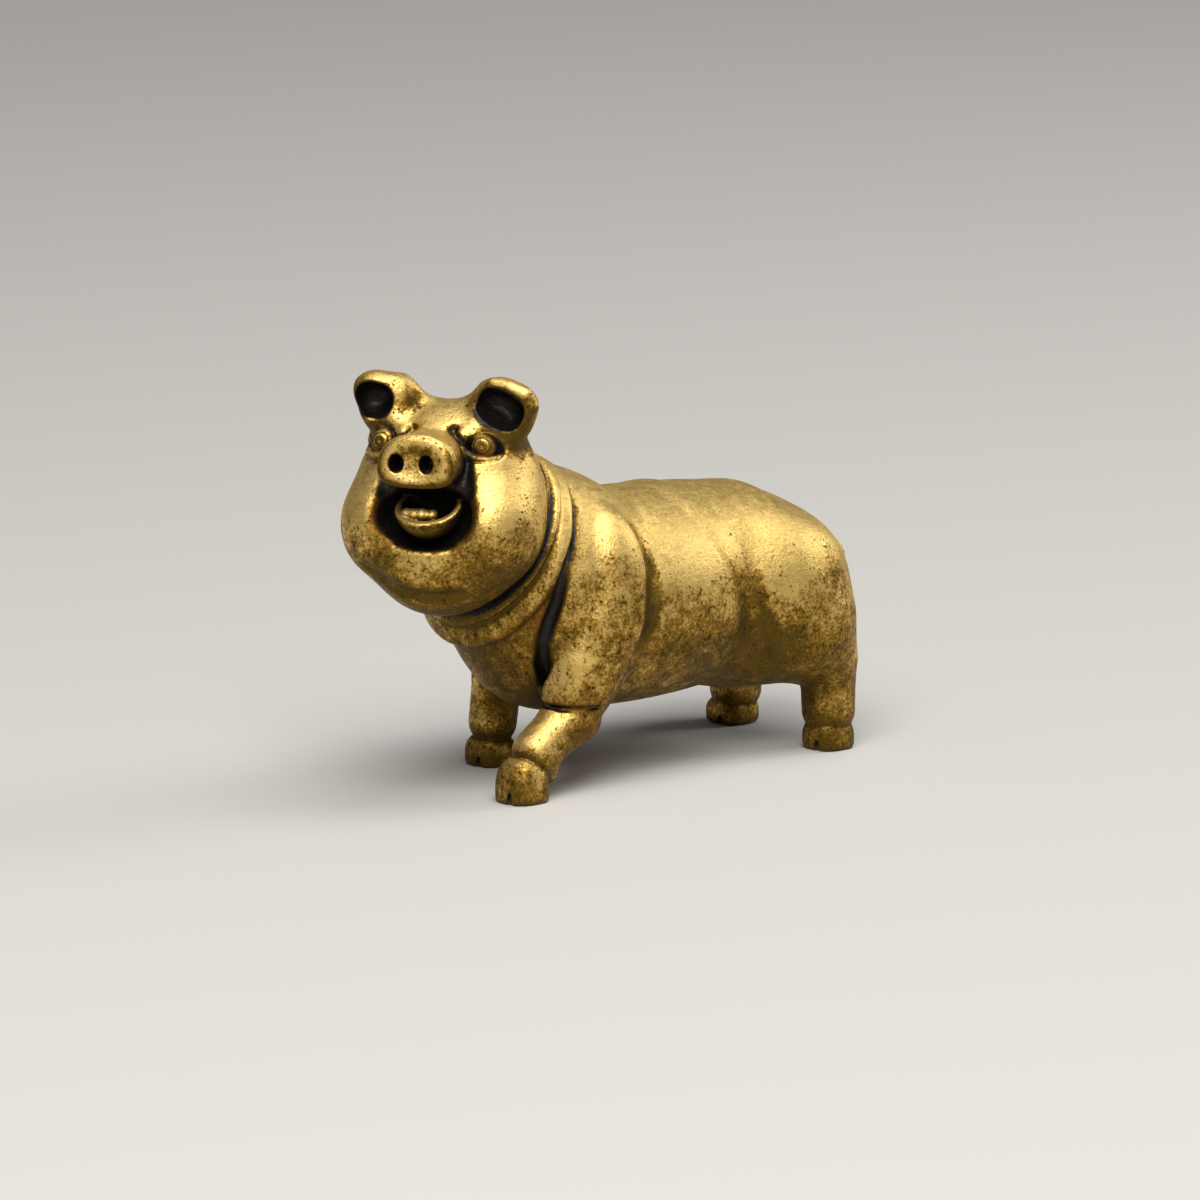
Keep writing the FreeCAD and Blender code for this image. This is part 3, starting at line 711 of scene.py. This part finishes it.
def pour(part):
    """Fills a piece's mesh: its skin is read once a block of cells, and cell by cell only near it.

    Each vertex is then moved on to the skin along the slope, which also gives its normal.
    """
    skin = skin_of(part)
    step = part["grain"] * 1
    low, high = part["low"], part["high"]
    blocks = np.ceil((high - low) / (BLOCK * step)).astype(int)
    middles = [low[i] + (BLOCK * np.arange(blocks[i]) + BLOCK / 2) * step for i in range(3)]
    places = [axis.ravel() for axis in np.meshgrid(*middles, indexing="ij")]
    values = skin(*places).reshape(blocks)
    busy = np.abs(values) < 5 * step + 0.25
    for axis in range(3):
        values, busy = np.repeat(values, BLOCK, axis), np.repeat(busy, BLOCK, axis)
    places = np.nonzero(busy)
    values[places] = skin(*(low[i] + (places[i] + 0.5) * step for i in range(3)))
    for axis in range(3):
        np.moveaxis(values, axis, 0)[[0, -1]] = step
    points, quads = net(values)
    points = low + (points + 0.5) * step
    for turn in range(2):
        gradient = slope(skin, points)
        steepness = np.maximum((gradient**2).sum(axis=1), 0.05)
        move = np.clip(skin(*points.T) / steepness, -step, step)
        points = points - move[:, None] * gradient
    normals = slope(skin, points)
    normals /= np.maximum(np.linalg.norm(normals, axis=1, keepdims=True), 1e-6)

    mesh = part["piece"].data
    mesh.vertices.add(len(points))
    mesh.vertices.foreach_set("co", (points * MM).ravel())
    mesh.loops.add(quads.size)
    mesh.loops.foreach_set("vertex_index", quads.ravel())
    mesh.polygons.add(len(quads))
    mesh.polygons.foreach_set("loop_start", np.arange(0, quads.size, 4))
    mesh.polygons.foreach_set("loop_total", np.full(len(quads), 4))
    mesh.update(calc_edges=True)
    mesh.normals_split_custom_set_from_vertices(normals)
    return points, normals


# Patina: the finished casting was dipped dark and then rubbed, so its hollows stay black.
# Each vertex is told how deep it lies in a hollow, and how much the rubbing cloth reached it with painted
# light from above added: brighter where it faces up and stands high, painted shade lower down.


class Shade:
    """A value between shader nodes. Arithmetic on it adds Math nodes."""

    def __init__(self, tree, socket=None):
        self.tree = tree
        self.socket = socket

    def node(self, kind, settings=(), inputs=(), output=0):
        """A node of a kind, with its settings made first and then its sockets' values or links."""
        made = self.tree.nodes.new(kind)
        for key, value in dict(settings).items():
            setattr(made, key, value)
        for key, value in dict(inputs).items():
            if isinstance(value, Shade):
                self.tree.links.new(value.socket, made.inputs[key])
            else:
                made.inputs[key].default_value = value
        return Shade(self.tree, made.outputs[output] if made.outputs else None)

    def math(self, operation, *values):
        return self.node("ShaderNodeMath", {"operation": operation}, dict(enumerate(values)))

    def __add__(self, other):
        return self.math("ADD", self, other)

    def __radd__(self, other):
        return self.math("ADD", other, self)

    def __sub__(self, other):
        return self.math("SUBTRACT", self, other)

    def __rsub__(self, other):
        return self.math("SUBTRACT", other, self)

    def __mul__(self, other):
        return self.math("MULTIPLY", self, other)

    def __rmul__(self, other):
        return self.math("MULTIPLY", other, self)

    def step(self, low, high):
        """A smooth step from 0 at low to 1 at high."""
        settings = {"interpolation_type": "SMOOTHSTEP"}
        return self.node("ShaderNodeMapRange", settings, {0: self, 1: low, 2: high, 3: 0.0, 4: 1.0})

    def mix(self, first, second):
        """The first colour where this is 0 and the second where it is 1."""
        return self.node("ShaderNodeMix", {"data_type": "RGBA"}, {0: self, 6: first, 7: second}, 2)


RUBBED_DULL, RUBBED_BRIGHT = (0.66, 0.44, 0.12, 1), (0.98, 0.73, 0.27, 1)
# The brown and olive colours stand for patina and random tone, and also for painted shade on low and
# downward-facing surfaces.
BROWN_AND_SHADE, OLIVE_AND_SHADE, RED_BROWN = (0.33, 0.185, 0.027, 1), (0.12, 0.074, 0.012, 1), (0.22, 0.085, 0.018, 1)
PIT_DARK, BLACK = (0.03, 0.019, 0.008, 1), (0.014, 0.011, 0.010, 1)


def antique_brass():
    """Rubbed brass over a brown and black patina that stays in the hollows, with scratches and pits, and
    darker tones that also paint shade on low and downward-facing surfaces.
    """
    material = bpy.data.materials.new("antique_brass")
    material.use_nodes = True
    tree = material.node_tree
    tree.nodes.clear()
    maker = Shade(tree)
    here = maker.node("ShaderNodeTexCoord", output=3)

    def noise(scale, detail=3.0, roughness=0.55, where=here):
        return maker.node("ShaderNodeTexNoise", {}, {0: where, 2: scale, 3: detail, 4: roughness})

    hollow = maker.node("ShaderNodeAttribute", {"attribute_name": "hollow"}, output=2)
    # The second attribute is rubbing with painted light from above: high, upward-facing surfaces come out
    # bright, low ones shaded.
    rubbed_and_top_lit = maker.node("ShaderNodeAttribute", {"attribute_name": "rubbed_and_top_lit"}, output=2)
    cloud = noise(130.0, 2.0)
    blotch = noise(330.0, 4.0, 0.6)
    fine = noise(1500.0, 5.0, 0.65)
    sand = noise(5200.0, 2.0, 0.6)
    stretched = maker.node("ShaderNodeMapping", {}, {0: here, 3: (0.5, 0.5, 2.6), 2: (0.3, 0.5, 0.2)})
    brushed = noise(2600.0, 3.0, 0.6, stretched)
    pits = (sand * 0.6 + fine * 0.4).step(0.56, 0.64)

    black = (hollow + (blotch - 0.5) * 0.25 + (fine - 0.5) * 0.3 + (sand - 0.5) * 0.2).step(0.36, 0.6)
    uneven = (cloud - 0.5) * 0.9 + (blotch - 0.5) * 1.1 + (fine - 0.5) * 1.5 + (sand - 0.5) * 1.3
    # Darker where deep in a hollow (patina), at random, and where the painted light from above is weak,
    # which paints shade on low and downward-facing surfaces.
    dull_and_shaded = hollow * 1.5 - rubbed_and_top_lit * 1.3 + 0.62 + uneven
    brown_and_shaded = dull_and_shaded.step(-0.15, 0.45)
    olive_and_shaded = dull_and_shaded.step(0.25, 0.85)
    red = (noise(210.0, 2.0) - 0.5 + hollow * 0.1 - rubbed_and_top_lit * 0.1).step(0.07, 0.2) * brown_and_shaded
    speck = pits * (0.3 + hollow * 1.2 + brown_and_shaded * 0.7 - rubbed_and_top_lit * 0.3).step(0.1, 0.8)
    grains = (fine * 0.4 + brushed * 0.3 + sand * 0.3).step(0.3, 0.7)
    colour = brown_and_shaded.mix(grains.mix(RUBBED_DULL, RUBBED_BRIGHT), BROWN_AND_SHADE)
    colour = olive_and_shaded.mix(colour, OLIVE_AND_SHADE)
    colour = (red * 0.4).mix(colour, RED_BROWN)
    colour = (speck * 0.75).mix(colour, PIT_DARK)
    colour = black.mix(colour, BLACK)
    rough = 0.50 + brown_and_shaded * 0.02 - black * 0.14 + (fine - 0.5) * 0.2 + (sand - 0.5) * 0.15
    metallic = 1.0 - black * 0.4
    relief = sand * 0.6 + fine * 0.6 + brushed * 0.3 + blotch * 0.6 - pits * 0.6 * (0.3 + brown_and_shaded)
    bump = maker.node("ShaderNodeBump", {}, {"Strength": 0.4, "Distance": 0.00016, "Height": relief})
    inputs = {"Base Color": colour, "Metallic": metallic, "Roughness": rough, "Normal": bump}
    surface = maker.node("ShaderNodeBsdfPrincipled", {}, inputs)
    maker.node("ShaderNodeOutputMaterial", {}, {0: surface})
    return material


def deep_in_socket(out, side, up):
    """Distance to the eye sockets, drawn in so that the lids stay bright."""
    return socket(out, np.abs(side), up) + 0.45


BRASS = antique_brass()
FORELEG_SKINS = ("left_forearm_skin", "right_foreleg_skin")
THIGH_SKINS = ("left_thigh_skin", "right_thigh_skin")
STAINS = (
    (("left_ear_skin", "head_skin"), in_head(left_hollow), 0.9),
    (("right_ear_skin", "head_skin"), in_head(right_hollow), 0.9),
    (("head_skin",), in_head(mouth_hollow), 0.8),
    (("head_skin",), in_head(deep_in_socket), 0.7),
    (("left_eye_skin", "right_eye_skin"), in_head(iris), 0.62),
    (("lower_lip_skin",), in_head(bowl_hollow), 0.9),
    (("neck_roll_skin", "shoulders_skin", *FORELEG_SKINS), front_crease, 0.85),
    (("shoulders_skin", "belly_and_back", *FORELEG_SKINS), rear_crease, 0.5),
    (("hindquarters_skin", "belly_and_back", *THIGH_SKINS), waist_crease, 0.52),
)
STAIN_FADE = 0.3
RUBBED_HARD = ("lower_lip_skin", "lower_teeth_skin")
FEELERS = ((0.3, 0.3), (0.7, 0.3), (1.4, 0.25), (2.6, 0.15))
PIG_TALL = 28.0
# These weigh the rubbed mask: a little all over, painted light from above on surfaces that face up and
# stand high, and less rubbing in the hollows.
WEAR_ALL_OVER, PAINTED_LIGHT_UPWARD, PAINTED_LIGHT_HIGH, WEAR_SHUT = 0.13, 0.72, 0.36, 0.9


def darkness(name, points, normals):
    """How deep each point lies in a hollow, from 0 to 1.

    For each feeler, which is a length and a weight, it is the weight times the share of that
    length, measured out along the normal, that isn't free. A stain is the most that its row
    gives inside its form, and fades over a short way round the form's surface. The larger counts.
    """
    shut = np.zeros(len(points))
    for long, weight in FEELERS:
        total, past = read(*(points + normals * long).T, reach=long + 0.1)
        shut += weight * np.clip(1 - total / long, 0, 1)
    if name in RUBBED_HARD:
        shut = 0.4 * shut
    for names, form, most in STAINS:
        if name in names:
            shut = np.maximum(shut, most * np.clip(0.75 - form(*points.T) / STAIN_FADE, 0, 1))
    return shut


for part in casting:
    if part["piece"]:
        points, normals = pour(part)
        name, mesh = part["piece"].name, part["piece"].data
        shut = darkness(name, points, normals)
        # Painted light from above: brighter where the normal points up and the point stands high, painted
        # shade on low and downward-facing surfaces; the hollows' patina is rubbed less.
        height = np.clip(points[:, 2] / PIG_TALL, 0, 1)
        rubbed_and_top_lit = WEAR_ALL_OVER + PAINTED_LIGHT_UPWARD * normals[:, 2] + PAINTED_LIGHT_HIGH * height - WEAR_SHUT * shut
        rubbed_and_top_lit = np.clip(rubbed_and_top_lit, 0, 1)
        if "_eye_" in name:
            rubbed_and_top_lit *= 0.75
        for label, values in (("hollow", shut), ("rubbed_and_top_lit", rubbed_and_top_lit)):
            attribute = mesh.attributes.new(label, "FLOAT", "POINT")
            attribute.data.foreach_set("value", values.astype(np.float32))
        mesh.materials.append(BRASS)

# Floor, lights and camera: a plain pale sheet under the pig, in a soft studio.
# The camera looks down a little at the pig's left side and face, as the photographer did.
floor_mesh = bpy.data.meshes.new("floor")
FLOOR_REACH = 1.5
floor_corners = [(FLOOR_REACH * x, FLOOR_REACH * y, 0) for x, y in ((-1, -1), (1, -1), (1, 1), (-1, 1))]
floor_mesh.from_pydata(floor_corners, [], [(0, 1, 2, 3)])
floor = bpy.data.objects.new("floor", floor_mesh)
bpy.context.scene.collection.objects.link(floor)
floor_material = bpy.data.materials.new("pale_floor")
floor_material.use_nodes = True
floor_inputs = floor_material.node_tree.nodes["Principled BSDF"].inputs
floor_inputs["Base Color"].default_value = (0.58, 0.57, 0.55, 1)
floor_inputs["Roughness"].default_value = 0.9
floor_mesh.materials.append(floor_material)
floor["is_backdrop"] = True

world = bpy.data.worlds.new("studio")
bpy.context.scene.world = world
world.use_nodes = True
background = world.node_tree.nodes["Background"].inputs
background["Color"].default_value = (0.14, 0.135, 0.13, 1)
background["Strength"].default_value = 1.0


PIG_MIDDLE = Vector((0, 0, 0.012))


def soft_light(name, place, size, power, colour=(1, 1, 1)):
    """A square lamp at a place in metres, turned to the pig's middle."""
    lamp = bpy.data.lights.new(name, "AREA")
    lamp.shape, lamp.size, lamp.energy, lamp.color = "SQUARE", size, power, colour
    stand = bpy.data.objects.new(name, lamp)
    stand.location = place
    stand.rotation_euler = (PIG_MIDDLE - Vector(place)).to_track_quat("-Z", "Y").to_euler()
    bpy.context.scene.collection.objects.link(stand)


soft_light("key", (-0.28, -0.30, 0.50), 0.42, 4.1, (1.0, 0.97, 0.92))
soft_light("top", (0.05, -0.10, 0.5), 0.3, 1.0)
soft_light("rim", (0.45, -0.15, 0.25), 0.2, 0.7)

azimuth, elevation, distance = math.radians(-40), math.radians(11.3), 0.8
level = math.cos(elevation)
back = Vector((math.sin(azimuth) * level, -math.cos(azimuth) * level, math.sin(elevation)))
aim, width_seen, sensor = Vector((0.0006, 0, 0.0113)), 0.080, 36
camera = bpy.data.objects.new("camera", bpy.data.cameras.new("camera"))
camera.data.sensor_width = sensor
camera.data.lens = sensor * distance / width_seen
camera.location = aim + back * distance
camera.rotation_euler = (-back).to_track_quat("-Z", "Y").to_euler()
bpy.context.scene.collection.objects.link(camera)
bpy.context.scene.camera = camera
bpy.context.scene.view_settings.view_transform = "Standard"

{name: [list(corner) for corner in box] for name, box in (("cad", cad_box), ("visual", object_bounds()))}
